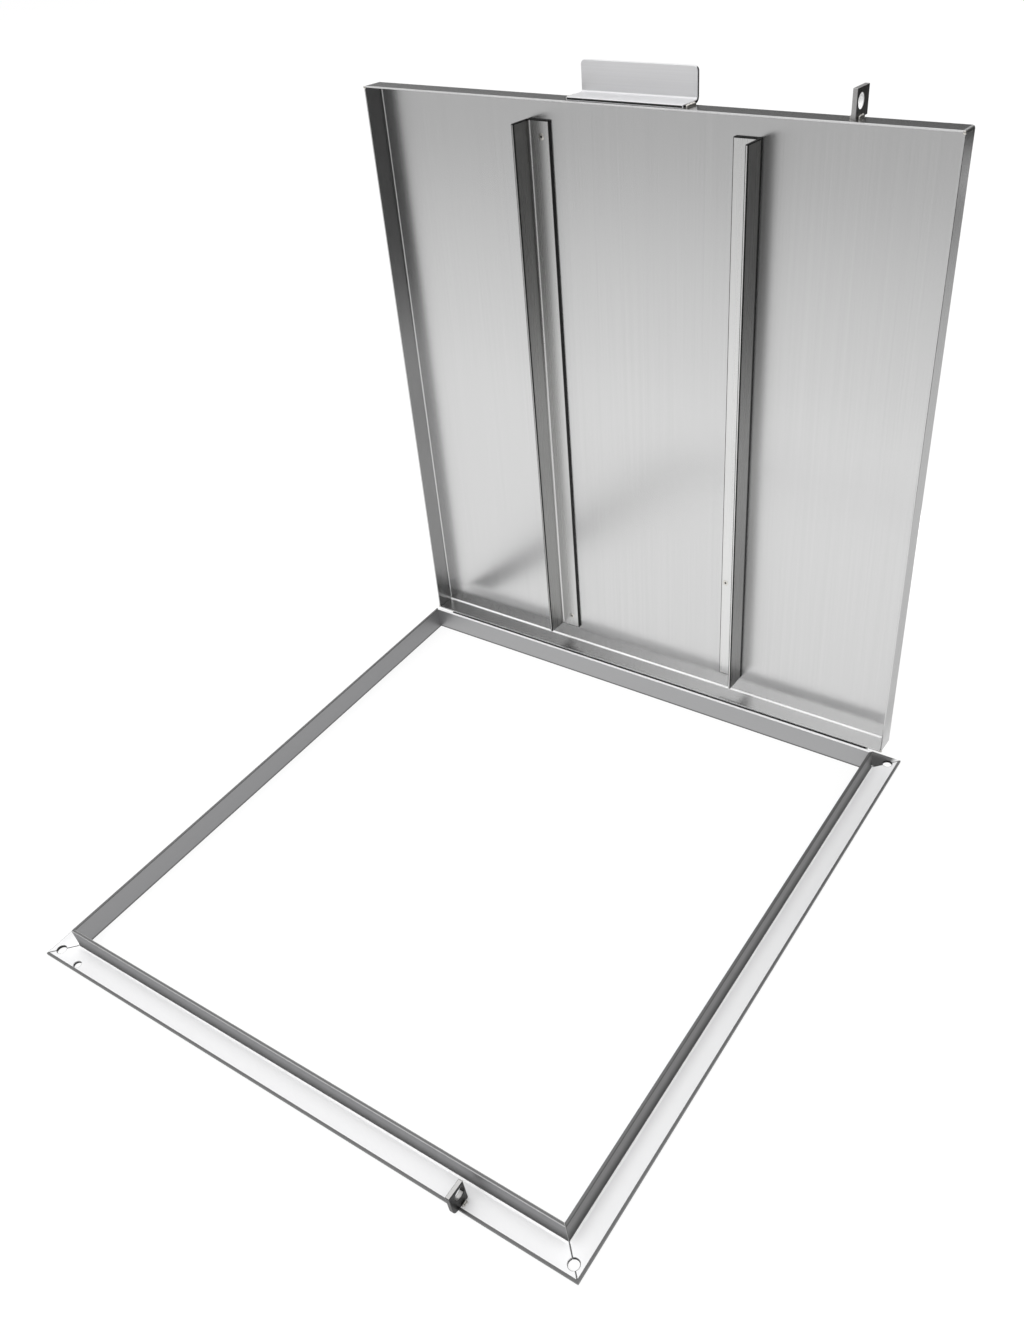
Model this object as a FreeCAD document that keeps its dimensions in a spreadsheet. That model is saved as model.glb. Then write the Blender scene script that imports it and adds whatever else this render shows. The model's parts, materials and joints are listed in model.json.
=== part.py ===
import FreeCAD, Part
import os

import Sketcher
from FreeCAD import Vector

# Hinged stainless steel cistern cover, in millimetres. X runs along the front edge, Y to the hinges at the
# back and Z up. The origin is the middle of the frame on the ground. The lid's pieces are drawn shut and
# turned open about the hinge axis by their placement.

doc = FreeCAD.newDocument("cistern_cover")
dims = doc.addObject("Spreadsheet::Sheet", "dims")

DIMENSIONS = {
    # frame of four mitred angle bars
    "frame_size": 600,
    "angle_leg": 25,
    "angle_thick": 3,
    "angle_root": 2.5,
    "anchor_hole_dia": 9,
    "anchor_inset": 10,
    "peg_hole_dia": 7,
    "peg_hole_inset": 6,
    "peg_hole_along": 38,
    # folded lid, and its clearances to the frame when shut
    "lid_sheet": 1.5,
    "lid_gap": 4,
    "seat_gap": 0.3,
    "lip_gap": 0.8,
    "bend_radius": 2,
    "rim_corner": 2.5,
    # angle stiffeners under the lid
    "stiffener_leg": 25,
    "stiffener_thick": 3,
    "stiffener_root": 2.5,
    "stiffener_heel": 115,
    "stiffener_end_gap": 20.5,
    # folded lift handle on the front rim
    "handle_length": 112,
    "handle_leg": 27,
    "handle_thick": 3,
    "handle_bend": 2,
    "handle_corner": 4,
    "handle_shift": -2,
    "handle_proud": 5,
    # padlock lugs, side by side when shut
    "lug_thick": 4,
    "lug_face": 193,
    "lug_gap": 0.4,
    "padlock_hole_dia": 11,
    "padlock_hole_ahead": 11.5,
    "padlock_hole_height": 19,
    "frame_lug_top": 28,
    "frame_lug_back_gap": 5,
    "frame_lug_overhang": 5.5,
    "frame_lug_round": 5,
    "lid_lug_reach": 21,
    "lid_lug_proud": 6.5,
    "lid_lug_drop": 16,
    # two long barrel hinges, end to end along the rear flange
    "hinge_end_inset": 36,
    "hinge_middle_gap": 1,
    "hinge_behind": 8.2,
    "knuckle_gap": 0.5,
    "barrel_dia": 12,
    "lid_barrel_dia": 11,
    "pin_dia": 6,
    "pin_play": 0.05,
    "pin_head_dia": 10,
    "pin_head_thick": 2,
    "leaf_thick": 2.5,
    "leaf_top_drop": 5,
    "leaf_low_lift": 2,
    "arm_height": 5.5,
    "open_angle": 95,
    # weld beads
    "weld_leg": 3.5,
    "weld_end_gap": 2,
}

for row, (alias, number) in enumerate(DIMENSIONS.items(), start=1):
    dims.set(f"A{row}", alias)
    dims.set(f"B{row}", str(number))
    dims.setAlias(f"B{row}", alias)
doc.recompute()

# Places that several pieces share, as expressions on the sheet.
FRAME_EDGE = "(dims.frame_size / 2)"
FLANGE_TOP = "dims.angle_thick"
UPSTAND_FACE = f"({FRAME_EDGE} - dims.angle_leg + dims.angle_thick)"
RIM_FACE = f"({UPSTAND_FACE} + dims.lid_gap + dims.lid_sheet)"
PANEL_UNDERSIDE = "(dims.angle_leg + dims.seat_gap)"
PANEL_TOP = f"({PANEL_UNDERSIDE} + dims.lid_sheet)"
LIP = f"({FLANGE_TOP} + dims.lip_gap)"
AXIS_Y = f"({RIM_FACE} + dims.hinge_behind)"
AXIS_Z = f"({FLANGE_TOP} + dims.barrel_dia / 2)"
HINGE_OUTER_END = f"({FRAME_EDGE} - dims.hinge_end_inset)"
KNUCKLE_LENGTH = f"(({HINGE_OUTER_END} - dims.hinge_middle_gap / 2 - 2 * dims.knuckle_gap) / 3)"
PADLOCK_Y = f"(-{RIM_FACE} - dims.padlock_hole_ahead)"
LID_LUG_NEAR = "(dims.lug_face + dims.lug_gap)"
LID_LUG_FAR = f"({LID_LUG_NEAR} + dims.lug_thick)"
LID_LUG_TOP = f"({PANEL_TOP} + dims.lid_lug_proud)"
LID_LUG_LOW = f"({PANEL_TOP} - dims.lid_lug_drop)"
HANDLE_TOP = f"({PANEL_TOP} + dims.handle_proud)"
HANDLE_LOW = f"({HANDLE_TOP} - dims.handle_leg)"
OPEN_PLACE = (
    "placement(vector(0; 0; 0); rotation(vector(1; 0; 0); -dims.open_angle); "
    f"vector(0; {AXIS_Y}; {AXIS_Z}))"
)

sub_parts = []


def value(expression):
    return float(dims.evalExpression(expression))


def new_body(label, on_lid=False):
    """A sub-part. Pieces of the lid are turned open about the hinge axis."""
    body = doc.addObject("PartDesign::Body", label)
    body.Label = label
    if on_lid:
        body.setExpression("Placement", OPEN_PLACE)
    sub_parts.append(body)
    return body


def sketch_on(body, name, role, offset="0"):
    """A sketch on one of the body's own planes, moved along the plane's normal by offset."""
    sketch = body.newObject("Sketcher::SketchObject", f"{body.Name}_{name}")
    plane = next(feature for feature in body.Origin.OriginFeatures if feature.Role == role)
    sketch.AttachmentSupport = [(plane, "")]
    sketch.MapMode = "FlatFace"
    sketch.setExpression("AttachmentOffset.Base.z", offset)
    return sketch


def pin_point(sketch, geometry, position, across, up):
    """Holds a point of the sketch at a place given by two expressions."""
    for kind, expression in (("DistanceX", across), ("DistanceY", up)):
        constraint = Sketcher.Constraint(kind, -1, 1, geometry, position, value(expression))
        index = sketch.addConstraint(constraint)
        sketch.setExpression(f"Constraints[{index}]", expression)


def add_outline(sketch, corners):
    """A closed outline of straight lines, each corner a pair of expressions."""
    points = [Vector(value(across), value(up), 0) for across, up in corners]
    count = len(points)
    first = sketch.GeometryCount
    for number in range(count):
        sketch.addGeometry(Part.LineSegment(points[number], points[(number + 1) % count]))
    for number in range(count):
        following = first + (number + 1) % count
        sketch.addConstraint(Sketcher.Constraint("Coincident", first + number, 2, following, 1))
    for number, (across, up) in enumerate(corners):
        pin_point(sketch, first + number, 1, across, up)


def add_rectangle(sketch, left, low, right, high):
    add_outline(sketch, [(left, low), (right, low), (right, high), (left, high)])


def add_circle(sketch, across, up, diameter):
    centre = Vector(value(across), value(up), 0)
    index = sketch.addGeometry(Part.Circle(centre, Vector(0, 0, 1), value(diameter) / 2))
    pin_point(sketch, index, 3, across, up)
    constraint = sketch.addConstraint(Sketcher.Constraint("Diameter", index, value(diameter)))
    sketch.setExpression(f"Constraints[{constraint}]", diameter)


def pad(body, sketch, length, symmetric=False):
    feature = body.newObject("PartDesign::Pad", f"{sketch.Name}_pad")
    feature.Profile = sketch
    feature.setExpression("Length", length)
    feature.SideType = "Symmetric" if symmetric else "One side"
    sketch.Visibility = False
    return feature


def pocket(body, sketch, depth=None):
    """Cuts the sketch upwards to a depth, or through the whole body both ways, and checks that it cut."""
    doc.recompute()
    before = body.Shape.Volume
    feature = body.newObject("PartDesign::Pocket", f"{sketch.Name}_cut")
    feature.Profile = sketch
    if depth:
        feature.setExpression("Length", depth)
        feature.Reversed = True
    else:
        feature.Type = "ThroughAll"
        feature.SideType = "Symmetric"
    sketch.Visibility = False
    doc.recompute()
    if body.Shape.Volume >= before:
        raise RuntimeError(f"{feature.Name} cuts nothing")
    return feature


def round_edges(body, radius, wanted):
    """Fillets the edges of the body's tip for which wanted(start, end) is true."""
    doc.recompute()
    base = body.Tip
    names = []
    for number, edge in enumerate(base.Shape.Edges, start=1):
        if len(edge.Vertexes) == 2 and wanted(edge.Vertexes[0].Point, edge.Vertexes[1].Point):
            names.append(f"Edge{number}")
    if not names:
        raise RuntimeError(f"{body.Name} has no such edge to round")
    feature = body.newObject("PartDesign::Fillet", f"{base.Name}_round")
    feature.Base = (base, names)
    feature.setExpression("Radius", radius)
    doc.recompute()
    return feature


def near(first, second):
    return abs(first - second) < 0.01


def both(axis, expression):
    """A test for edges whose two ends share one coordinate."""
    place = value(expression)
    return lambda start, end: near(start[axis], place) and near(end[axis], place)


def all_of(*tests):
    return lambda start, end: all(test(start, end) for test in tests)


def frame_bar(label, quarter_turns, peg_hole=False):
    """One mitred angle bar, drawn as the front bar and turned into place."""
    body = new_body(label)
    upstand_inside = f"(-{FRAME_EDGE} + dims.angle_leg)"
    section = sketch_on(body, "section", "YZ_Plane")
    add_outline(section, [
        (f"-{FRAME_EDGE}", "0"),
        (upstand_inside, "0"),
        (upstand_inside, "dims.angle_leg"),
        (f"-{UPSTAND_FACE}", "dims.angle_leg"),
        (f"-{UPSTAND_FACE}", FLANGE_TOP),
        (f"-{FRAME_EDGE}", FLANGE_TOP),
    ])
    pad(body, section, "dims.frame_size", symmetric=True)
    round_edges(body, "dims.angle_root", all_of(both(1, f"-{UPSTAND_FACE}"), both(2, FLANGE_TOP)))

    mitres = sketch_on(body, "mitres", "XY_Plane")
    for side in ("", "-"):
        add_outline(mitres, [
            (f"{side}{FRAME_EDGE}", f"-{FRAME_EDGE}"),
            (f"{side}{FRAME_EDGE}", upstand_inside),
            (f"{side}({FRAME_EDGE} - dims.angle_leg)", upstand_inside),
        ])
    pocket(body, mitres)

    holes = sketch_on(body, "holes", "XY_Plane")
    anchor_place = f"({FRAME_EDGE} - dims.anchor_inset)"
    for side in ("", "-"):
        add_circle(holes, f"{side}{anchor_place}", f"-{anchor_place}", "dims.anchor_hole_dia")
    if peg_hole:
        add_circle(holes, f"(-{FRAME_EDGE} + dims.peg_hole_along)", f"(-{FRAME_EDGE} + dims.peg_hole_inset)",
                   "dims.peg_hole_dia")
    pocket(body, holes)
    body.Placement = FreeCAD.Placement(Vector(), FreeCAD.Rotation(Vector(0, 0, 1), 90 * quarter_turns))


def lid_pan():
    """The lid: one sheet folded down on four sides, its corners welded and ground round."""
    body = new_body("lid_pan", on_lid=True)
    outline = sketch_on(body, "outline", "XY_Plane", LIP)
    add_rectangle(outline, f"-{RIM_FACE}", f"-{RIM_FACE}", RIM_FACE, RIM_FACE)
    pad(body, outline, f"{PANEL_TOP} - {LIP}")
    round_edges(body, "dims.rim_corner", lambda start, end: not near(start.z, end.z))
    round_edges(body, "dims.bend_radius + dims.lid_sheet", both(2, PANEL_TOP))

    rim_inside = f"({RIM_FACE} - dims.lid_sheet)"
    hollow = sketch_on(body, "hollow", "XY_Plane", LIP)
    add_rectangle(hollow, f"-{rim_inside}", f"-{rim_inside}", rim_inside, rim_inside)
    pocket(body, hollow, depth=f"{PANEL_UNDERSIDE} - {LIP}")
    inside = value(rim_inside)
    round_edges(body, "dims.rim_corner - dims.lid_sheet",
                lambda start, end: near(abs(start.x), inside) and near(abs(start.y), inside)
                and not near(start.z, end.z))
    round_edges(body, "dims.bend_radius", both(2, PANEL_UNDERSIDE))


def stiffener(label, side):
    """An angle bar under the lid: flat leg inwards against the panel, other leg standing off it."""
    body = new_body(label, on_lid=True)
    heel = f"{side}dims.stiffener_heel"
    toe = f"{side}(dims.stiffener_heel - dims.stiffener_leg)"
    leg_inside = f"{side}(dims.stiffener_heel - dims.stiffener_thick)"
    leg_end = f"({PANEL_UNDERSIDE} - dims.stiffener_leg)"
    flat_face = f"({PANEL_UNDERSIDE} - dims.stiffener_thick)"
    section = sketch_on(body, "section", "XZ_Plane")
    add_outline(section, [
        (heel, PANEL_UNDERSIDE),
        (toe, PANEL_UNDERSIDE),
        (toe, flat_face),
        (leg_inside, flat_face),
        (leg_inside, leg_end),
        (heel, leg_end),
    ])
    pad(body, section, f"2 * ({RIM_FACE} - dims.stiffener_end_gap)", symmetric=True)
    round_edges(body, "dims.stiffener_root", all_of(both(0, leg_inside), both(2, flat_face)))


def lift_handle():
    """A folded strip: one leg flat on the front rim, the other standing out from it as the grip."""
    body = new_body("lift_handle", on_lid=True)
    rim_side = f"-{RIM_FACE}"
    leg_face = f"(-{RIM_FACE} - dims.handle_thick)"
    grip_end = f"(-{RIM_FACE} - dims.handle_leg)"
    grip_under = f"({HANDLE_TOP} - dims.handle_thick)"
    section = sketch_on(body, "section", "YZ_Plane", "dims.handle_shift")
    add_outline(section, [
        (rim_side, HANDLE_LOW),
        (rim_side, HANDLE_TOP),
        (grip_end, HANDLE_TOP),
        (grip_end, grip_under),
        (leg_face, grip_under),
        (leg_face, HANDLE_LOW),
    ])
    pad(body, section, "dims.handle_length", symmetric=True)
    round_edges(body, "dims.handle_bend", all_of(both(1, leg_face), both(2, grip_under)))
    round_edges(body, "dims.handle_bend + dims.handle_thick", all_of(both(1, rim_side), both(2, HANDLE_TOP)))
    round_edges(body, "dims.handle_corner",
                all_of(both(1, grip_end), lambda start, end: not near(start.z, end.z)))


def frame_padlock_lug():
    """A plate on the front flange that overhangs its edge, with its low front corner rounded."""
    body = new_body("frame_padlock_lug")
    front = f"(-{FRAME_EDGE} - dims.frame_lug_overhang)"
    back = f"(-{RIM_FACE} - dims.frame_lug_back_gap)"
    outline = sketch_on(body, "outline", "YZ_Plane", "dims.lug_face - dims.lug_thick")
    add_rectangle(outline, front, FLANGE_TOP, back, "dims.frame_lug_top")
    add_circle(outline, PADLOCK_Y, "dims.padlock_hole_height", "dims.padlock_hole_dia")
    pad(body, outline, "dims.lug_thick")
    round_edges(body, "dims.frame_lug_round", all_of(both(1, front), both(2, FLANGE_TOP)))


def lid_padlock_lug():
    """A plate on the front rim whose hole meets the frame lug's hole when the lid is shut."""
    body = new_body("lid_padlock_lug", on_lid=True)
    outline = sketch_on(body, "outline", "YZ_Plane", LID_LUG_NEAR)
    add_rectangle(outline, f"(-{RIM_FACE} - dims.lid_lug_reach)", LID_LUG_LOW, f"-{RIM_FACE}", LID_LUG_TOP)
    add_circle(outline, PADLOCK_Y, "dims.padlock_hole_height", "dims.padlock_hole_dia")
    pad(body, outline, "dims.lug_thick")


def barrel(body, start, diameter):
    """Adds a round barrel on the hinge axis, then its bore."""
    rounding = sketch_on(body, "barrel", "YZ_Plane", start)
    add_circle(rounding, AXIS_Y, AXIS_Z, diameter)
    pad(body, rounding, KNUCKLE_LENGTH)
    bore = sketch_on(body, "bore", "YZ_Plane", start)
    add_circle(bore, AXIS_Y, AXIS_Z, "(dims.pin_dia + 2 * dims.pin_play)")
    pocket(body, bore)


def frame_knuckle(label, start):
    """A hinge knuckle with a square foot that is welded to the rear flange."""
    body = new_body(label)
    foot = sketch_on(body, "foot", "YZ_Plane", start)
    add_rectangle(foot, f"({AXIS_Y} - dims.barrel_dia / 2)", FLANGE_TOP,
                  f"({AXIS_Y} + dims.barrel_dia / 2)", AXIS_Z)
    pad(body, foot, KNUCKLE_LENGTH)
    barrel(body, start, "dims.barrel_dia")


def lid_knuckle(label, start):
    """The middle knuckle, with an arm to the leaf that is welded to the lid's rear rim."""
    body = new_body(label, on_lid=True)
    leaf_face = f"({RIM_FACE} + dims.leaf_thick)"
    leaf_low = f"({LIP} + dims.leaf_low_lift)"
    leaf = sketch_on(body, "leaf", "YZ_Plane", start)
    add_outline(leaf, [
        (RIM_FACE, leaf_low),
        (leaf_face, leaf_low),
        (leaf_face, AXIS_Z),
        (AXIS_Y, AXIS_Z),
        (AXIS_Y, f"({AXIS_Z} + dims.arm_height)"),
        (leaf_face, f"({AXIS_Z} + dims.arm_height)"),
        (leaf_face, f"({PANEL_TOP} - dims.leaf_top_drop)"),
        (RIM_FACE, f"({PANEL_TOP} - dims.leaf_top_drop)"),
    ])
    pad(body, leaf, KNUCKLE_LENGTH)
    barrel(body, start, "dims.lid_barrel_dia")


def hinge_pin(label, start, length, head_start):
    """A plain pin with a round head that bears on the outer frame knuckle."""
    body = new_body(label)
    shank = sketch_on(body, "shank", "YZ_Plane", start)
    add_circle(shank, AXIS_Y, AXIS_Z, "dims.pin_dia")
    pad(body, shank, length)
    head = sketch_on(body, "head", "YZ_Plane", head_start)
    add_circle(head, AXIS_Y, AXIS_Z, "dims.pin_head_dia")
    pad(body, head, "dims.pin_head_thick")


def hinge(side_name, side):
    """Two frame knuckles, the lid knuckle between them and the pin, its head on the outer side."""
    pitch = f"({KNUCKLE_LENGTH} + dims.knuckle_gap)"
    left_start = f"(-{HINGE_OUTER_END})" if side == "-" else "(dims.hinge_middle_gap / 2)"
    middle = f"({left_start} + {pitch})"
    right_start = f"({middle} + {pitch})"
    right_end = f"({right_start} + {KNUCKLE_LENGTH})"
    length = f"({HINGE_OUTER_END} - dims.hinge_middle_gap / 2)"
    names = ("outer", "inner") if side == "-" else ("inner", "outer")
    frame_knuckle(f"hinge_{side_name}_{names[0]}_knuckle", left_start)
    lid_knuckle(f"hinge_{side_name}_lid_knuckle", middle)
    frame_knuckle(f"hinge_{side_name}_{names[1]}_knuckle", right_start)
    head_start = f"({left_start} - dims.pin_head_thick)" if side == "-" else right_end
    hinge_pin(f"hinge_{side_name}_pin", left_start, length, head_start)


def rim_weld(label, corner_x, side, low, high):
    """A fillet weld up the front rim, in the corner between the rim and a plate that stands on it."""
    body = new_body(label, on_lid=True)
    section = sketch_on(body, "section", "XY_Plane", low)
    add_outline(section, [
        (corner_x, f"-{RIM_FACE}"),
        (f"({corner_x} {side} dims.weld_leg)", f"-{RIM_FACE}"),
        (corner_x, f"(-{RIM_FACE} - dims.weld_leg)"),
    ])
    pad(body, section, f"{high} - {low}")


def flange_weld(label, corner_x, side):
    """A fillet weld along the foot of the frame lug, on the flange."""
    body = new_body(label)
    back = f"(-{RIM_FACE} - dims.frame_lug_back_gap - dims.weld_end_gap)"
    front = f"(-{FRAME_EDGE} + dims.weld_end_gap)"
    section = sketch_on(body, "section", "XZ_Plane", f"-{back}")
    add_outline(section, [
        (corner_x, FLANGE_TOP),
        (f"({corner_x} {side} dims.weld_leg)", FLANGE_TOP),
        (corner_x, f"({FLANGE_TOP} + dims.weld_leg)"),
    ])
    pad(body, section, f"{back} - {front}")


frame_bar("frame_bar_front", 0, peg_hole=True)
frame_bar("frame_bar_right", 1)
frame_bar("frame_bar_rear", 2)
frame_bar("frame_bar_left", 3)
frame_padlock_lug()
flange_weld("frame_lug_weld_left", "(dims.lug_face - dims.lug_thick)", "-")
flange_weld("frame_lug_weld_right", "dims.lug_face", "+")

lid_pan()
stiffener("stiffener_left", "-")
stiffener("stiffener_right", "")
lift_handle()
lid_padlock_lug()
lug_weld_low = f"({LID_LUG_LOW} + dims.weld_end_gap)"
lug_weld_high = f"({PANEL_TOP} - dims.bend_radius - dims.lid_sheet)"
rim_weld("lid_lug_weld_left", LID_LUG_NEAR, "-", lug_weld_low, lug_weld_high)
rim_weld("lid_lug_weld_right", LID_LUG_FAR, "+", lug_weld_low, lug_weld_high)
handle_weld_low = f"({HANDLE_LOW} + dims.weld_end_gap)"
handle_left = "(dims.handle_shift - dims.handle_length / 2)"
handle_right = "(dims.handle_shift + dims.handle_length / 2)"
rim_weld("handle_weld_left", handle_left, "-", handle_weld_low, lug_weld_high)
rim_weld("handle_weld_right", handle_right, "+", handle_weld_low, lug_weld_high)

hinge("left", "-")
hinge("right", "")

doc.recompute()
for item in doc.Objects:
    if "Invalid" in item.State or "Error" in item.State:
        raise RuntimeError(f"{item.Label} failed: {item.State}")
for body in sub_parts:
    if body.Shape.isNull() or not body.Shape.isValid():
        raise RuntimeError(f"{body.Label} has no valid shape")

os.makedirs("parts", exist_ok=True)
for body in sub_parts:
    body.Shape.exportStep(f"parts/{body.Label}.step")
    print(body.Label, round(body.Shape.Volume), len(body.Shape.Solids))
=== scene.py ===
import json
import math

import bmesh
import bpy
from mathutils import Matrix, Quaternion, Vector


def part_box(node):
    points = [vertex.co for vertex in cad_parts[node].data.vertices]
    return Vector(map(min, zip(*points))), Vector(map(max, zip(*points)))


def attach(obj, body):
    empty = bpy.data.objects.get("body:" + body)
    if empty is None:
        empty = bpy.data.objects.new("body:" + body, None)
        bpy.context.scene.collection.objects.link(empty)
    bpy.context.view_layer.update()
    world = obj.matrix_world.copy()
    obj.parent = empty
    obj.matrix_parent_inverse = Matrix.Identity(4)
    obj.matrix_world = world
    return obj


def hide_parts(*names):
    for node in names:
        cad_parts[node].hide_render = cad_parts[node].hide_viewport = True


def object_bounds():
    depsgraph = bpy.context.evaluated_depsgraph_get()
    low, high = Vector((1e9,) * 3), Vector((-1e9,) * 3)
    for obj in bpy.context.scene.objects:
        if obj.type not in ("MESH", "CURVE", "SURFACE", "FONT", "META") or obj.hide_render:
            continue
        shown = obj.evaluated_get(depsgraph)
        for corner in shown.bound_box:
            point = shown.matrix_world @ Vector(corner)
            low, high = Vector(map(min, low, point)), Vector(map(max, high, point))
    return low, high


# Looks of the hinged cistern cover, in metres, in the part's own frame: X right along the front edge, Y to
# the hinges at the back, Z up. The lid is stored open, as in the photograph.

MM = 0.001

# Camera, fitted to the corners of the frame and lid in the photograph.
IMAGE_WIDTH = 1024
IMAGE_HEIGHT = 1334
CAMERA_PLACE = Vector((0.5648, -0.5508, 0.8508))
CAMERA_TARGET = Vector((0.0021, 0.1792, 0.0250))
CAMERA_ROLL = math.radians(7.28)
FOCAL_PIXELS = 1176.0
CENTRE_PIXELS = (587.2, 726.8)
SENSOR = 36.0

# Sizes of the solids that the finishes and the added forms go by. Sideways sizes count from the middle, and
# the zone of the holes from the flange's outer edge.
FLANGE_THICK = 3.0 * MM
ROOT_TOP = 5.5 * MM
UPSTAND_FACE = 278.0 * MM
HOLE_ZONE = (1.0 * MM, 20.0 * MM)
STIFFENER_THICK = 3.0 * MM
STIFFENER_END_GAP = 19.0 * MM
FLAT_LEG_TOE = 90.0 * MM
STANDING_LEG_INSIDE = 111.5 * MM
LID_SHEET = 1.5 * MM
RIM_DEPTH = 21.5 * MM
SIDE_RIM_ZONE = 270.0 * MM
LIP_ZONE = 10.0 * MM
HANDLE_FOOT_ZONE = 3.0 * MM

# Where finishes fade: the distances at which a fade begins and ends.
GROUND_LINE = (1.0 * MM, 2.5 * MM)
UPSTAND_FOOT = (ROOT_TOP, 17.0 * MM)
FLANGE_SHADE = (UPSTAND_FACE, UPSTAND_FACE + 18.0 * MM)
LID_OVERHANG = (291.0 * MM, 296.0 * MM)
HEEL_LINE = (2.5 * MM, 3.5 * MM)
RIM_FOOT = (20.0 * MM, 90.0 * MM)

# Widths of the broken corners, and of the rolled toe along the flanges.
FINE_CORNER = 0.35 * MM
BAR_CORNER = 0.6 * MM
STIFFENER_CORNER = 1.0 * MM
HANDLE_CORNER = 0.7 * MM
BAR_TOE = 2.0 * MM

# Shares of a face's normal along a direction: the face turns that way, lies square to it, stands along it,
# or is on the steep part of the root.
FACING = 0.7
SQUARE = 0.98
ALONG = 0.05
STEEP_ROOT = 0.6

# Mottling on plain steel and fine lines on brushed steel.
MOTTLE_SIZE = 5.0 * MM
MOTTLE_DETAIL = 4.0
MOTTLE_SHARE = 0.12
LINE_LENGTH = 250.0 * MM
LINE_WIDTH = 1.2 * MM
LINE_DETAIL = 3.0
LINE_SHARE = 0.05

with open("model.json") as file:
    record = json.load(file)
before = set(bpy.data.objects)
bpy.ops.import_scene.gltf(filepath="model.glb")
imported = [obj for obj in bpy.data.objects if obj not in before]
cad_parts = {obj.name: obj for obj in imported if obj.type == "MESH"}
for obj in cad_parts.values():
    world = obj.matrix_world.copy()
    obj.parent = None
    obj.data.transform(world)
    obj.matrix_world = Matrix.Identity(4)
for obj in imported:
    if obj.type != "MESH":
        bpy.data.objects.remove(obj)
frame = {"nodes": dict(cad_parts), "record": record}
nodes = frame["nodes"]
cad_low, cad_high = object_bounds()
lid_high = Vector(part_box("lid_pan")[1])
handle_low = Vector(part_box("lift_handle")[0])

# The open lid's own directions: up along the panel, and out of the panel towards the front. The hinge's
# range ends where the lid is shut, so what it has over a right angle is the lean of the open lid.
hinge = frame["record"]["behaviour"]["joints"][0]
LEAN = math.radians(hinge["range_deg"][1] - 90.0)
LID_UP = Vector((0.0, math.sin(LEAN), math.cos(LEAN)))
LID_OUT = Vector((0.0, -math.cos(LEAN), math.sin(LEAN)))
ALONG_X = Vector((1.0, 0.0, 0.0))
ALONG_Y = Vector((0.0, 1.0, 0.0))
UP = Vector((0.0, 0.0, 1.0))

# The stiffeners' length and the foot of their flat legs, worked out from the left one's box and the lean.
stiffener_low, stiffener_high = (Vector(corner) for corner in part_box("stiffener_left"))
stiffener_leg = stiffener_high.x - stiffener_low.x
stiffener_length = (stiffener_high.z - stiffener_low.z - stiffener_leg * LID_OUT.z) / LID_UP.z
stiffener_foot = Vector((0.0, stiffener_high.y - stiffener_length * LID_UP.y, stiffener_low.z))
lid_inside = lid_high.x - LID_SHEET

# The middles of the padlock holes, each with a little more than the hole's radius.
padlock_holes = [
    (Vector(mount["pos_m"]), 1.1 * MM * mount["dims"]["r_mm"])
    for mount in frame["record"]["mounts"] if mount["kind"] == "bore"
]


def new_material(name):
    material = bpy.data.materials.new(name)
    material.use_nodes = True
    tree = material.node_tree
    return material, tree, tree.nodes["Principled BSDF"]


def place_on(tree, kind="Object"):
    """The place of a surface point, in the object's own frame or as a share of its box."""
    return tree.nodes.new("ShaderNodeTexCoord").outputs[kind]


def along_axis(tree, place, axis):
    axes = tree.nodes.new("ShaderNodeSeparateXYZ")
    tree.links.new(place, axes.inputs["Vector"])
    return axes.outputs[axis]


def math_node(tree, operation, *values, clamp=False):
    """Adds a math node fed by sockets or plain numbers, and returns its result."""
    node = tree.nodes.new("ShaderNodeMath")
    node.operation = operation
    node.use_clamp = clamp
    for socket, value in zip(node.inputs, values):
        if isinstance(value, float):
            socket.default_value = value
        else:
            tree.links.new(value, socket)
    return node.outputs["Value"]


def map_range(tree, value, source, target, interpolation="LINEAR"):
    """Maps a value from one range to another, held at the ends, and returns the result."""
    node = tree.nodes.new("ShaderNodeMapRange")
    node.interpolation_type = interpolation
    for name, (first, last) in (("From", source), ("To", target)):
        node.inputs[name + " Min"].default_value = first
        node.inputs[name + " Max"].default_value = last
    tree.links.new(value, node.inputs["Value"])
    return node.outputs["Result"]


def noise(tree, place, scale, detail):
    node = tree.nodes.new("ShaderNodeTexNoise")
    node.inputs["Scale"].default_value = scale
    node.inputs["Detail"].default_value = detail
    tree.links.new(place, node.inputs["Vector"])
    return node.outputs["Fac"]


def vary_colour(tree, value, first_colour, last_colour):
    """Leads the base colour from first to last by a value from 0 to 1, in place of an earlier blend."""
    base_colour = tree.nodes["Principled BSDF"].inputs["Base Color"]
    if base_colour.is_linked:
        tree.nodes.remove(base_colour.links[0].from_node)
    blend = tree.nodes.new("ShaderNodeMix")
    blend.data_type = "RGBA"
    first, last = (socket for socket in blend.inputs if socket.type == "RGBA")
    first.default_value = (*first_colour, 1.0)
    last.default_value = (*last_colour, 1.0)
    factor = next(socket for socket in blend.inputs if socket.type == "VALUE")
    result = next(socket for socket in blend.outputs if socket.type == "RGBA")
    tree.links.new(value, factor)
    tree.links.new(result, base_colour)


def tinted(colour, share):
    return tuple(min(1.0, channel * share) for channel in colour)


def vary_finish(tree, pattern, colour, share, roughness, spread):
    """Varies the base colour by a share and the roughness by a spread, after a pattern from 0 to 1."""
    vary_colour(tree, pattern, tinted(colour, 1.0 - share), tinted(colour, 1.0 + share))
    polish = map_range(tree, pattern, (0.0, 1.0), (roughness - spread, roughness + spread))
    tree.links.new(polish, tree.nodes["Principled BSDF"].inputs["Roughness"])


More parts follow.
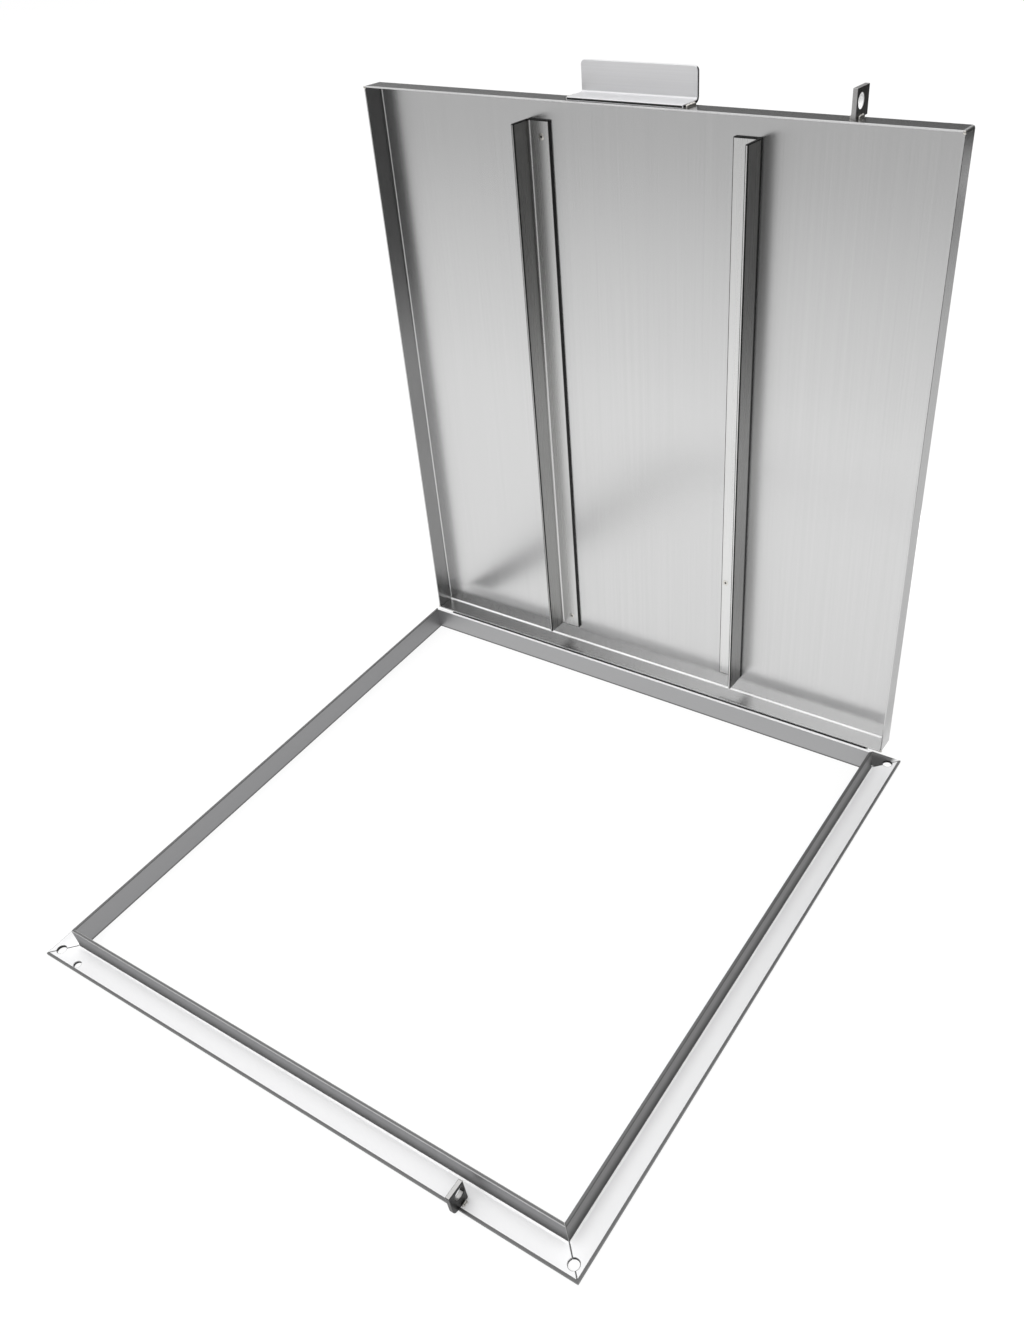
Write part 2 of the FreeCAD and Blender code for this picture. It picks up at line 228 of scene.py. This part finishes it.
def steel(name, colour, roughness, metallic=1.0):
    """Mottled stainless steel without a grain. A lower metallic share stands for a matt, pickled skin."""
    material, tree, shader = new_material(name)
    shader.inputs["Metallic"].default_value = metallic
    mottle = noise(tree, place_on(tree), 1.0 / MOTTLE_SIZE, MOTTLE_DETAIL)
    vary_finish(tree, mottle, colour, MOTTLE_SHARE, roughness, MOTTLE_SHARE * roughness)
    return material


def brushed_steel(name, colour, grain, roughness, spread, anisotropy, metallic=1.0):
    """Stainless steel with fine lines along grain, which blur reflections sideways."""
    material, tree, shader = new_material(name)
    shader.inputs["Metallic"].default_value = metallic
    shader.inputs["Anisotropic"].default_value = anisotropy

    lines_run = tree.nodes.new("ShaderNodeVectorTransform")
    lines_run.vector_type = "VECTOR"
    lines_run.convert_from = "OBJECT"
    lines_run.convert_to = "WORLD"
    lines_run.inputs["Vector"].default_value = grain
    surface = tree.nodes.new("ShaderNodeNewGeometry")
    across = tree.nodes.new("ShaderNodeVectorMath")
    across.operation = "CROSS_PRODUCT"
    tree.links.new(lines_run.outputs["Vector"], across.inputs[0])
    tree.links.new(surface.outputs["Normal"], across.inputs[1])
    tree.links.new(across.outputs["Vector"], shader.inputs["Tangent"])

    stretch = tree.nodes.new("ShaderNodeMapping")
    stretch.vector_type = "TEXTURE"
    stretch.inputs["Rotation"].default_value = ALONG_X.rotation_difference(grain).to_euler()
    stretch.inputs["Scale"].default_value = (LINE_LENGTH, LINE_WIDTH, LINE_WIDTH)
    tree.links.new(place_on(tree), stretch.inputs["Vector"])
    lines = noise(tree, stretch.outputs["Vector"], 1.0, LINE_DETAIL)
    vary_finish(tree, lines, colour, LINE_SHARE, roughness, spread)
    return material


def lid_steel(name, colour):
    return brushed_steel(name, colour, LID_UP, roughness=0.24, spread=0.02, anisotropy=0.7)


def bar_steel(name, colour, grain, metallic=1.0):
    return brushed_steel(name, colour, grain, roughness=0.45, spread=0.03, anisotropy=0.3, metallic=metallic)


def leg_steel(name, colour):
    return brushed_steel(name, colour, LID_UP, roughness=0.28, spread=0.03, anisotropy=0.5)


def matt_steel(name, colour):
    return steel(name, colour, roughness=0.5, metallic=0.25)


def fade_by_place(material, measure, reach, near_colour, far_colour):
    """Fades the base colour over a reach of distances, which a measure function works out from the place."""
    tree = material.node_tree
    share = map_range(tree, measure(tree, place_on(tree)), reach, (0.0, 1.0))
    vary_colour(tree, share, near_colour, far_colour)


def by_height(tree, place):
    return along_axis(tree, place, "Z")


def to_the_side(tree, place, axis="X"):
    """Distance from the frame's middle along one axis."""
    return math_node(tree, "ABSOLUTE", along_axis(tree, place, axis))


def from_middle(tree, place):
    """Distance from the frame's middle to the square through the point."""
    return math_node(tree, "MAXIMUM", to_the_side(tree, place, "X"), to_the_side(tree, place, "Y"))


def from_panel(tree, place):
    """Height over the panel's inside while the lid is open."""
    out = tree.nodes.new("ShaderNodeVectorMath")
    out.operation = "DOT_PRODUCT"
    out.inputs[1].default_value = LID_OUT
    tree.links.new(place, out.inputs[0])
    return math_node(tree, "SUBTRACT", out.outputs["Value"], LID_OUT.dot(stiffener_foot))


SHEET_COLOUR = (0.65, 0.65, 0.65)
RIM_COLOUR = (0.38, 0.38, 0.38)
RIGHT_RIM_COLOUR = (0.92, 0.92, 0.92)
RIGHT_RIM_FOOT_COLOUR = (0.5, 0.5, 0.5)
REAR_RIM_COLOUR = (0.77, 0.77, 0.77)
LIP_COLOUR = (0.52, 0.52, 0.52)
UPSTAND_COLOUR = (0.305, 0.305, 0.31)
FRONT_UPSTAND_COLOUR = (0.25, 0.25, 0.255)
RIGHT_UPSTAND_COLOUR = (0.24, 0.24, 0.24)
REAR_UPSTAND_COLOUR = (0.42, 0.42, 0.425)
FOOT_COLOUR = (0.07, 0.07, 0.07)
FLANGE_COLOUR = (0.68, 0.68, 0.685)
SHADED_FLANGE_COLOUR = (0.86, 0.86, 0.865)
REAR_FLANGE_COLOUR = (0.12, 0.12, 0.12)
BAR_CORNER_COLOUR = (0.42, 0.42, 0.42)
BAR_EDGE_COLOUR = (0.2, 0.2, 0.2)
ROOT_COLOUR = (0.12, 0.12, 0.12)
ROOT_LIGHT_COLOUR = (0.95, 0.95, 0.95)
STANDING_LEG_COLOUR = (0.44, 0.44, 0.435)
RIGHT_STANDING_LEG_COLOUR = (0.37, 0.37, 0.365)
HEEL_COLOUR = (0.01, 0.01, 0.01)
LEFT_FLAT_LEG_COLOUR = (0.66, 0.66, 0.655)
RIGHT_FLAT_LEG_COLOUR = (0.74, 0.74, 0.735)
HANDLE_COLOUR = (0.84, 0.84, 0.85)
LUG_SIDE_COLOUR = (0.17, 0.168, 0.165)
DARK_LUG_COLOUR = (0.04, 0.04, 0.04)
LUG_EDGE_COLOUR = (0.55, 0.545, 0.54)
HOLE_COLOUR = (0.9, 0.9, 0.9)
HINGE_COLOUR = (0.15, 0.15, 0.15)
WELD_COLOUR = (0.72, 0.70, 0.66)
EDGE_COLOUR = (0.05, 0.05, 0.05)
HOLE_SHADE_COLOUR = (0.01, 0.01, 0.01)

# The lid's rims are lit and shaded copies of the panel's steel: the left rim's inside is darker, painted
# shade; the right rim's outside and the rear rim's inside are paler, painted light.
sheet = lid_steel("lid_sheet", SHEET_COLOUR)
rim_sheet = lid_steel("lid_rim", RIM_COLOUR)
right_rim_sheet = lid_steel("right_rim", RIGHT_RIM_COLOUR)
rear_rim_sheet = lid_steel("rear_rim", REAR_RIM_COLOUR)
lip = matt_steel("lid_lip", LIP_COLOUR)
# The upstands' outsides are darker copies of their steel, painted shade, and the rear upstand's inside is a
# paler copy, painted light.
upstand_along_x = bar_steel("upstand_along_x", UPSTAND_COLOUR, ALONG_X)
upstand_along_y = bar_steel("upstand_along_y", UPSTAND_COLOUR, ALONG_Y)
rear_upstand = bar_steel("rear_upstand", REAR_UPSTAND_COLOUR, ALONG_X)
upstand_foot_x = bar_steel("upstand_foot_x", FRONT_UPSTAND_COLOUR, ALONG_X)
upstand_foot_y = bar_steel("upstand_foot_y", RIGHT_UPSTAND_COLOUR, ALONG_Y)
flange_skin = matt_steel("flange_skin", FLANGE_COLOUR)
rear_flange = steel("rear_flange", REAR_FLANGE_COLOUR, 0.2)
bar_corner = steel("bar_corner", BAR_CORNER_COLOUR, 0.5, metallic=0.5)
bar_edge = steel("bar_edge", BAR_EDGE_COLOUR, 0.5)
bar_root = steel("bar_root", ROOT_COLOUR, 0.35)
root_light = matt_steel("root_light", ROOT_LIGHT_COLOUR)
# The stiffeners' legs are lit and shaded copies of one steel: the flat legs, which face out of the lid, are
# paler, painted light; the standing legs are darker, painted shade, the right one most.
standing_leg = leg_steel("standing_leg", STANDING_LEG_COLOUR)
right_standing_leg = leg_steel("right_standing_leg", RIGHT_STANDING_LEG_COLOUR)
left_flat_leg = leg_steel("left_flat_leg", LEFT_FLAT_LEG_COLOUR)
right_flat_leg = leg_steel("right_flat_leg", RIGHT_FLAT_LEG_COLOUR)
handle_steel = bar_steel("handle_steel", HANDLE_COLOUR, ALONG_X, metallic=0.85)
# The lugs are lit and shaded copies of one steel: their sides are dark, painted shade, the frame lug's
# darkest; their edges are paler, painted light; and the wall of the lid lug's padlock hole is nearly white,
# painted light.
lug_side = steel("lug_side", LUG_SIDE_COLOUR, 0.35)
dark_lug = steel("dark_lug", DARK_LUG_COLOUR, 0.35)
lug_edge = steel("lug_edge", LUG_EDGE_COLOUR, 0.35)
lug_hole = matt_steel("lug_hole", HOLE_COLOUR)
hinge_steel = steel("hinge_steel", HINGE_COLOUR, 0.4)
weld_metal = steel("weld_metal", WELD_COLOUR, 0.32)
cut_edge = steel("cut_edge", EDGE_COLOUR, 0.5)
hole_shade = steel("hole_shade", HOLE_SHADE_COLOUR, 0.9, metallic=0.0)

# Painted shade: the bars darken where their insides meet the ground and where their outsides meet the
# flange.
fade_by_place(upstand_along_y, by_height, GROUND_LINE, ROOT_COLOUR, UPSTAND_COLOUR)
fade_by_place(rear_upstand, by_height, GROUND_LINE, ROOT_COLOUR, REAR_UPSTAND_COLOUR)
fade_by_place(upstand_foot_x, by_height, UPSTAND_FOOT, FOOT_COLOUR, FRONT_UPSTAND_COLOUR)
fade_by_place(upstand_foot_y, by_height, UPSTAND_FOOT, FOOT_COLOUR, RIGHT_UPSTAND_COLOUR)
# The flange looks even in the photograph, so its skin is paler towards the root, where it lies in shade.
# The paler root is painted light against that shade.
fade_by_place(flange_skin, from_middle, FLANGE_SHADE, SHADED_FLANGE_COLOUR, FLANGE_COLOUR)
# Painted shadow of the lid: the rear flange is dark as far as the open lid overhangs it.
fade_by_place(rear_flange, to_the_side, LID_OVERHANG, REAR_FLANGE_COLOUR, FLANGE_COLOUR)
# Painted shade: a dark line runs along the right stiffener's heel, and the lid's right rim darkens towards
# its foot.
fade_by_place(right_standing_leg, from_panel, HEEL_LINE, HEEL_COLOUR, RIGHT_STANDING_LEG_COLOUR)
fade_by_place(right_rim_sheet, by_height, RIM_FOOT, RIGHT_RIM_FOOT_COLOUR, RIGHT_RIM_COLOUR)


# The functions below tell which faces of a solid take another finish.


def from_outer_edge(place):
    return cad_high.x - max(abs(place.x), abs(place.y))


def flange_top(face):
    return face.normal.z > SQUARE and face.center.z < ROOT_TOP


# The flange's outer edge takes a dark finish, painted shade.
def flange_edge(face):
    touching = 0.05 * MM
    return face.normal.xy.length > FACING and from_outer_edge(face.center) < touching


def mitre(face):
    """The bars' mitred ends, which only meet each other."""
    smallest_end = 20.0 * MM * MM
    diagonal = abs(abs(face.normal.x) - abs(face.normal.y)) < 0.01
    return diagonal and face.area > smallest_end


def hole_wall(face):
    """The walls of the holes, which lie between the flange's outer edge and the upstand."""
    nearest, farthest = HOLE_ZONE
    in_flange = face.normal.xy.length > FACING and face.center.z < FLANGE_THICK
    return in_flange and nearest < from_outer_edge(face.center) < farthest and not mitre(face)


def upstand_top(face):
    return face.normal.z > FACING and face.center.z > ROOT_TOP


def upstand_outside(face):
    outward = face.normal.xy.dot(face.center.xy) > 0.0
    return outward and abs(face.normal.z) < ALONG and face.center.z > FLANGE_THICK


def rear_face(face):
    """The upstand's face towards the hinges, without the flange's edge."""
    return face.normal.y > FACING and face.center.z > FLANGE_THICK


def in_root(face):
    return FLANGE_THICK < face.center.z < ROOT_TOP


def upper_root(face):
    """The steep part of the rolled fillet between the flange and the upstand."""
    return ALONG < face.normal.z < STEEP_ROOT and in_root(face)


def lower_root(face):
    """The flat part of that fillet, which carries a painted highlight as a thin line."""
    return STEEP_ROOT <= face.normal.z <= SQUARE and in_root(face)


# The near-black finish on these edges is painted shade.
def stiffener_edge(face):
    """The sawn ends and the toe of the flat leg."""
    end = abs(face.normal.dot(LID_UP)) > FACING
    toe = abs(face.normal.x) > FACING and abs(abs(face.center.x) - FLAT_LEG_TOE) < 1.0 * MM
    return end or toe


def faces_out(face):
    """Turned out of the open lid, like a stiffener's flat leg and its standing leg's tip."""
    return face.normal.dot(LID_OUT) > FACING


def flat_leg_face(face):
    return faces_out(face) and abs(face.center.x) < STANDING_LEG_INSIDE


def left_rim_inside(face):
    return face.normal.x > FACING and face.center.x < -SIDE_RIM_ZONE


def right_rim_outside(face):
    return face.normal.x > FACING and face.center.x > lid_high.x - LID_SHEET / 2


def low_on_lid(face):
    return face.center.z < lid_high.z / 2


def rear_rim_inside(face):
    """The inside of the rim at the hinges, which faces up while the lid is open."""
    return face.normal.dot(LID_UP) > FACING and low_on_lid(face)


def rear_bend(face):
    """The bend between the panel's inside and that rim."""
    slant = 0.2
    turned = slant < face.normal.dot(LID_UP) < SQUARE and slant < face.normal.dot(LID_OUT) < SQUARE
    return turned and low_on_lid(face)


def front_lip(face):
    """The cut edge of the rim that carries the handle."""
    return faces_out(face) and face.center.z > lid_high.z - LIP_ZONE


# The near-black finish on these faces is painted shade; on the foot's front edge it stands for the shadowed
# gap under it.
def handle_end(face):
    """The handle's sawn ends and the front edge of its foot."""
    foot_edge = faces_out(face) and face.center.y < handle_low.y + HANDLE_FOOT_ZONE
    return abs(face.normal.x) > FACING or foot_edge


def lug_top(face):
    return face.normal.z > FACING


def in_padlock_hole(face):
    near_hole = any((face.center - middle).yz.length < reach for middle, reach in padlock_holes)
    return abs(face.normal.x) < FACING and near_hole


def on_lug_rim(face):
    """The edges round a padlock lug, without the wall of its hole."""
    return abs(face.normal.x) < FACING and not in_padlock_hole(face)


def dress(node_name, material, others=(), bevel=FINE_CORNER, corner_material=-1):
    """Gives a CAD node its finish, other finishes on the faces that pass their test, and broken corners."""
    node = nodes[node_name]
    node.data.materials.clear()
    node.data.materials.append(material)
    for number, (other, belongs) in enumerate(others, start=1):
        node.data.materials.append(other)
        for face in node.data.polygons:
            if belongs(face):
                face.material_index = number
    weld = node.modifiers.new("joined", "WELD")
    weld.merge_threshold = 0.001 * MM
    whole_faces = node.modifiers.new("whole_faces", "DECIMATE")
    whole_faces.decimate_type = "DISSOLVE"
    whole_faces.angle_limit = math.radians(0.5)
    whole_faces.delimit = {"MATERIAL"}
    corners = node.modifiers.new("broken_corners", "BEVEL")
    corners.width = bevel
    corners.segments = 2
    corners.limit_method = "ANGLE"
    corners.angle_limit = math.radians(50)
    corners.material = corner_material
    corners.use_clamp_overlap = False
    shading = node.modifiers.new("flat_faces", "WEIGHTED_NORMAL")
    shading.weight = 100


# On each bar the fillet's steep part is dark, painted shade, and its flat part is a painted highlight; the
# upstand's face towards the hinges takes the flange's paler finish, painted light.
def bar_parts(upstand_foot, top_edge, flange=flange_skin):
    return (
        (bar_corner, mitre),
        (bar_edge, flange_edge),
        (flange, flange_top),
        (top_edge, upstand_top),
        (upstand_foot, upstand_outside),
        (flange_skin, rear_face),
        (bar_root, upper_root),
        (root_light, lower_root),
        (hole_shade, hole_wall),
    )


left_stiffener_parts = ((cut_edge, stiffener_edge), (left_flat_leg, flat_leg_face))
right_stiffener_parts = ((cut_edge, stiffener_edge), (right_flat_leg, faces_out))
# Painted shade on the left rim's inside, painted light on the right rim's outside and the rear rim's inside,
# and a painted highlight along the rear bend.
lid_parts = (
    (rim_sheet, left_rim_inside),
    (right_rim_sheet, right_rim_outside),
    (rear_rim_sheet, rear_rim_inside),
    (root_light, rear_bend),
    (lip, front_lip),
)
lid_lug_parts = ((lug_edge, on_lug_rim), (lug_hole, in_padlock_hole))
frame_lug_parts = ((lug_edge, lug_top),)

# For each node its main finish, the others, the width of its broken corners and the number of the finish
# that those corners take: 0 is the main one, and the others count from 1. Without a number they take the
# finish beside them.
finishes = {
    "frame_bar_front": (upstand_along_x, bar_parts(upstand_foot_x, bar_edge), BAR_CORNER, 1),
    "frame_bar_rear": (rear_upstand, bar_parts(upstand_foot_x, flange_skin, rear_flange)),
    "frame_bar_left": (upstand_along_y, bar_parts(upstand_foot_y, bar_edge), BAR_CORNER, 2),
    "frame_bar_right": (upstand_along_y, bar_parts(upstand_foot_y, bar_edge), BAR_CORNER, 2),
    "lid_pan": (sheet, lid_parts),
    "stiffener_left": (standing_leg, left_stiffener_parts, STIFFENER_CORNER, 1),
    "stiffener_right": (right_standing_leg, right_stiffener_parts, STIFFENER_CORNER, 1),
    "lift_handle": (handle_steel, ((cut_edge, handle_end),), HANDLE_CORNER, 0),
    "frame_padlock_lug": (dark_lug, frame_lug_parts, FINE_CORNER, 0),
    "lid_padlock_lug": (lug_side, lid_lug_parts, FINE_CORNER, 1),
}
for node_name in nodes:
    plain_finish = (weld_metal,) if "weld" in node_name else (hinge_steel,)
    dress(node_name, *finishes.get(node_name, plain_finish))


def new_piece(name, shape, material, body, smooth=True):
    """Turns a bmesh into a piece of the object that rides on a body."""
    for face in shape.faces:
        face.smooth = smooth
    mesh = bpy.data.meshes.new(name)
    shape.to_mesh(mesh)
    shape.free()
    mesh.materials.append(material)
    piece = bpy.data.objects.new(name, mesh)
    bpy.context.collection.objects.link(piece)
    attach(piece, body)
    return piece


def toe_strip(name, out):
    """The rolled toe along a bar's outer edge: a thin skin with mitred ends, dark as painted shade."""
    skin = 0.02 * MM
    deep = 0.3 * MM
    low = 0.4 * MM
    top = FLANGE_THICK + skin
    profile = (
        (BAR_TOE, top - deep),
        (BAR_TOE, top),
        (-skin, top),
        (-skin, low),
        (deep, low),
        (deep, top - deep),
    )
    run = UP.cross(out)
    shape = bmesh.new()
    ends = []
    for direction in (-run, run):
        corners = [(out + direction) * (cad_high.x - inset) + UP * height for inset, height in profile]
        ends.append([shape.verts.new(corner) for corner in corners])
    first, last = ends
    shape.faces.new(first)
    shape.faces.new(reversed(last))
    for number in range(len(profile)):
        following = (number + 1) % len(profile)
        shape.faces.new((first[following], first[number], last[number], last[following]))
    bmesh.ops.recalc_face_normals(shape, faces=shape.faces)
    new_piece(name, shape, bar_edge, "frame", smooth=False)


for side_name, out in (("front", -ALONG_Y), ("right", ALONG_X)):
    toe_strip(side_name + "_toe", out)


def add_bead_row(shape, middle, run, length, radius):
    """Overlapping round ripples along a line, as a welder leaves them."""
    ripple_pitch = 0.9 * radius
    ripple_length = 0.75
    swell_share = 0.14
    swell_step = 2.3
    first_swell = 40.0 * middle.x
    count = max(2, round(length / ripple_pitch))
    turn = run.to_track_quat("X", "Z").to_matrix().to_4x4()
    for number in range(count):
        along = length * ((number + 0.5) / count - 0.5)
        swell = radius * (1.0 + swell_share * math.sin(swell_step * number + first_swell))
        size = Matrix.Diagonal((ripple_length * swell, swell, swell, 1.0))
        place = Matrix.Translation(middle + run * along)
        bmesh.ops.create_icosphere(shape, subdivisions=2, radius=1.0, matrix=place @ turn @ size)


def fillet_bead(node_name):
    """A lumpy bead in place of a CAD fillet weld, sunk between the plate and what carries it."""
    low, high = (Vector(corner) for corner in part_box(node_name))
    leg = high.x - low.x
    on_frame = node_name.startswith("frame")
    run, rise = (-ALONG_Y, UP) if on_frame else (LID_OUT, LID_UP)
    to_plate = ALONG_X if node_name.endswith("left") else -ALONG_X
    length = (high.y - low.y) / abs(run.y)
    sunk = leg * (0.2 * to_plate - 0.25 * rise)
    shape = bmesh.new()
    add_bead_row(shape, (low + high) / 2 + sunk, run, length - leg, 0.5 * leg)
    bead = new_piece(node_name + "_bead", shape, weld_metal, "frame" if on_frame else "lid")
    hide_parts(node_name)


for node_name in list(nodes):
    if "weld" in node_name:
        fillet_bead(node_name)


def lid_place(across, up_lid, out):
    """A point of the lid: across it, up from the stiffeners' lower ends, and out from the panel's inside."""
    return stiffener_foot + ALONG_X * across + LID_UP * up_lid + LID_OUT * out


def lid_stand(place):
    """A frame at a point of the lid, with its Z out of the panel."""
    return Matrix.Translation(place) @ LID_OUT.to_track_quat("Z", "X").to_matrix().to_4x4()


def corner_seam(name, side, up_lid):
    """The welded seam in an inside corner of the folded lid, with a flat bead where it ends at the lip."""
    seam_radius = 0.7 * MM
    bead_radius = 1.4 * MM
    flat = Matrix.Diagonal((1.0, 1.0, 0.4, 1.0))
    seam = lid_stand(lid_place(side * lid_inside, up_lid, RIM_DEPTH / 2))
    shape = bmesh.new()
    bmesh.ops.create_cone(shape, cap_ends=True, segments=10, radius1=seam_radius, radius2=seam_radius,
                          depth=RIM_DEPTH, matrix=seam)
    new_piece(name, shape, cut_edge, "lid")
    seam_end = lid_stand(lid_place(side * (lid_inside + LID_SHEET / 2), up_lid, RIM_DEPTH))
    shape = bmesh.new()
    bmesh.ops.create_icosphere(shape, subdivisions=2, radius=bead_radius, matrix=seam_end @ flat)
    new_piece(name + "_bead", shape, weld_metal, "lid")


for side_name, side in (("left", -1.0), ("right", 1.0)):
    corner_seam(f"rear_{side_name}_seam", side, -STIFFENER_END_GAP)
    corner_seam(f"front_{side_name}_seam", side, stiffener_length + STIFFENER_END_GAP)

# Spot-weld marks on the flat legs: across the lid, and up from the stiffeners' lower ends.
MARK_FROM_END = 13.5 * MM
MARK_RADIUS = 3.0 * MM
SPOT_MARKS = {
    "left_upper_spot": (-98.7 * MM, stiffener_length - MARK_FROM_END),
    "left_lower_spot": (-99.0 * MM, MARK_FROM_END),
    "right_lower_spot": (95.0 * MM, 112.5 * MM),
}


def spot_mark(name, across, up_lid):
    """A shallow ring with a dark dip in it, as a spot welder's tip leaves."""
    place = lid_stand(lid_place(across, up_lid, STIFFENER_THICK))
    for part, radius, height, material in (
        ("ring", MARK_RADIUS, 0.25 * MM, weld_metal),
        ("dip", 0.5 * MARK_RADIUS, 0.35 * MM, cut_edge),
    ):
        shape = bmesh.new()
        size = Matrix.Diagonal((radius, radius, height, 1.0))
        bmesh.ops.create_uvsphere(shape, u_segments=24, v_segments=8, radius=1.0, matrix=place @ size)
        new_piece(f"{name}_{part}", shape, material, "lid")


for mark_name, (across, up_lid) in SPOT_MARKS.items():
    spot_mark(mark_name, across, up_lid)


def stage_plane(name, centre, width, height, facing, material):
    """A flat card round the object that isn't part of it."""
    bpy.ops.mesh.primitive_plane_add(size=1.0, location=centre)
    card = bpy.context.object
    card.name = name
    card.scale = (width, height, 1.0)
    card.rotation_mode = "QUATERNION"
    card.rotation_quaternion = Vector(facing).to_track_quat("Z", "Y")
    card.data.materials.append(material)
    return card


def reflected_card(name, centre, width, height, facing, material):
    """A card that only reflections see, as a studio sets beside bright metal."""
    card = stage_plane(name, centre, width, height, facing, material)
    card.visible_camera = False
    card.visible_shadow = False
    card.visible_diffuse = False


def floor_material():
    """A white floor that still takes the object's shadow."""
    glow_share = 0.82
    material, tree, shader = new_material("floor_white")
    shader.inputs["Base Color"].default_value = (0.9, 0.9, 0.9, 1.0)
    shader.inputs["Roughness"].default_value = 0.8
    path = tree.nodes.new("ShaderNodeLightPath")
    seen = path.outputs["Is Camera Ray"]
    for ray in ("Is Glossy Ray", "Is Transmission Ray"):
        seen = math_node(tree, "ADD", seen, path.outputs[ray], clamp=True)
    glow = tree.nodes.new("ShaderNodeEmission")
    glow.inputs["Strength"].default_value = 1.0
    blend = tree.nodes.new("ShaderNodeMixShader")
    tree.links.new(math_node(tree, "MULTIPLY", seen, glow_share), blend.inputs["Fac"])
    tree.links.new(shader.outputs["BSDF"], blend.inputs[1])
    tree.links.new(glow.outputs["Emission"], blend.inputs[2])
    tree.links.new(blend.outputs["Shader"], tree.nodes["Material Output"].inputs["Surface"])
    return material


def cloth_material(name, grey):
    material, _, shader = new_material(name)
    shader.inputs["Base Color"].default_value = (grey, grey, grey, 1.0)
    shader.inputs["Roughness"].default_value = 1.0
    shader.inputs["Specular IOR Level"].default_value = 0.0
    return material


def fading_material(name, first_strength, last_strength, reach):
    """A glow that changes along the card's own Y, from its first edge over reach, a share of the card."""
    material, tree, _ = new_material(name)
    along = along_axis(tree, place_on(tree, "Generated"), "Y")
    fall = map_range(tree, along, (0.0, reach), (first_strength, last_strength))
    glow = tree.nodes.new("ShaderNodeEmission")
    tree.links.new(fall, glow.inputs["Strength"])
    tree.links.new(glow.outputs["Emission"], tree.nodes["Material Output"].inputs["Surface"])
    return material


def lamp(name, place, target, width, height, power):
    """A soft lamp that lights surfaces; reflections see only the sky and the cards."""
    data = bpy.data.lights.new(name, "AREA")
    data.shape = "RECTANGLE"
    data.size = width
    data.size_y = height
    data.energy = power
    light = bpy.data.objects.new(name, data)
    light.location = place
    light.rotation_mode = "QUATERNION"
    light.rotation_quaternion = (Vector(target) - Vector(place)).to_track_quat("-Z", "Y")
    light.visible_glossy = False
    bpy.context.collection.objects.link(light)
    return data


def add_world(horizon, zenith):
    """A sky that brightens upwards, like a room lit from its ceiling. The camera sees it white."""
    rise_between = (0.1, 0.65)
    world = bpy.data.worlds.new("studio")
    world.use_nodes = True
    tree = world.node_tree
    background = tree.nodes["Background"]
    background.inputs["Color"].default_value = (1.0, 1.0, 1.0, 1.0)
    up = along_axis(tree, place_on(tree, "Generated"), "Z")
    rise = map_range(tree, up, rise_between, (horizon, zenith), "SMOOTHSTEP")
    path = tree.nodes.new("ShaderNodeLightPath")
    seen = tree.nodes.new("ShaderNodeMix")
    seen.inputs["B"].default_value = 1.0
    tree.links.new(path.outputs["Is Camera Ray"], seen.inputs["Factor"])
    tree.links.new(rise, seen.inputs["A"])
    tree.links.new(seen.outputs["Result"], background.inputs["Strength"])
    bpy.context.scene.world = world


def add_camera():
    data = bpy.data.cameras.new("camera")
    data.sensor_width = SENSOR
    data.lens = FOCAL_PIXELS / IMAGE_HEIGHT * SENSOR
    data.shift_x = (IMAGE_WIDTH / 2 - CENTRE_PIXELS[0]) / IMAGE_HEIGHT
    data.shift_y = (CENTRE_PIXELS[1] - IMAGE_HEIGHT / 2) / IMAGE_HEIGHT
    camera = bpy.data.objects.new("camera", data)
    camera.location = CAMERA_PLACE
    camera.rotation_mode = "QUATERNION"
    aim = (CAMERA_TARGET - CAMERA_PLACE).to_track_quat("-Z", "Y")
    camera.rotation_quaternion = aim @ Quaternion((0.0, 0.0, 1.0), -CAMERA_ROLL)
    bpy.context.collection.objects.link(camera)
    bpy.context.scene.camera = camera


# The floor lies just under the object. Two glowing cards that only reflections see lie just over the floor.
FLOOR_HEIGHT = -0.01 * MM
CARD_HEIGHT = 1.0 * MM
front_glow = fading_material("front_floor", 1.0, 0.57, reach=0.35)
side_glow = fading_material("side_floor", 0.6, 0.5, reach=1.0)
stage_plane("floor", (0.0, 0.0, FLOOR_HEIGHT), 60.0, 60.0, UP, floor_material())
reflected_card("front_floor", (-0.5, -4.4, CARD_HEIGHT), 12.0, 7.6, UP, front_glow)
reflected_card("side_floor", (0.95, 1.1, CARD_HEIGHT), 1.3, 1.6, UP, side_glow)

# Dark cloths for the steel to reflect: their middle, width, height, the way they face and their grey.
CLOTHS = {
    "left": ((-2.2, -1.5, 1.9), 1.5, 1.7, (1.2, 1.1, -1.2), 0.03),
    "right": ((0.75, 0.4, 1.0), 3.4, 2.0, (-1.0, 0.0, 0.0), 0.03),
    "rear": ((-0.8, 2.2, 0.45), 4.0, 0.9, (0.0, -1.0, 0.0), 0.05),
}
for side_name, (centre, width, height, facing, grey) in CLOTHS.items():
    cloth = cloth_material(side_name + "_cloth", grey)
    reflected_card(side_name + "_flag", centre, width, height, facing, cloth)

lamp("overhead", (-1.4, 1.2, 2.6), (-1.4, 1.2, 0.0), 4.2, 4.0, power=40.0)
lamp("front_fill", (0.4, -1.3, 2.2), (0.0, -0.3, 0.0), 2.4, 2.4, power=30.0)
# This lamp throws no shadows, so it reaches the gap behind the rear upstand, which the panel reflects.
rear_fill = lamp("rear_fill", (0.0, 0.75, 0.05), (0.0, 0.28, 0.03), 1.0, 0.08, power=2.6)
rear_fill.use_shadow = False
add_world(horizon=0.15, zenith=1.2)
add_camera()

scene = bpy.context.scene
scene.view_settings.view_transform = "Standard"
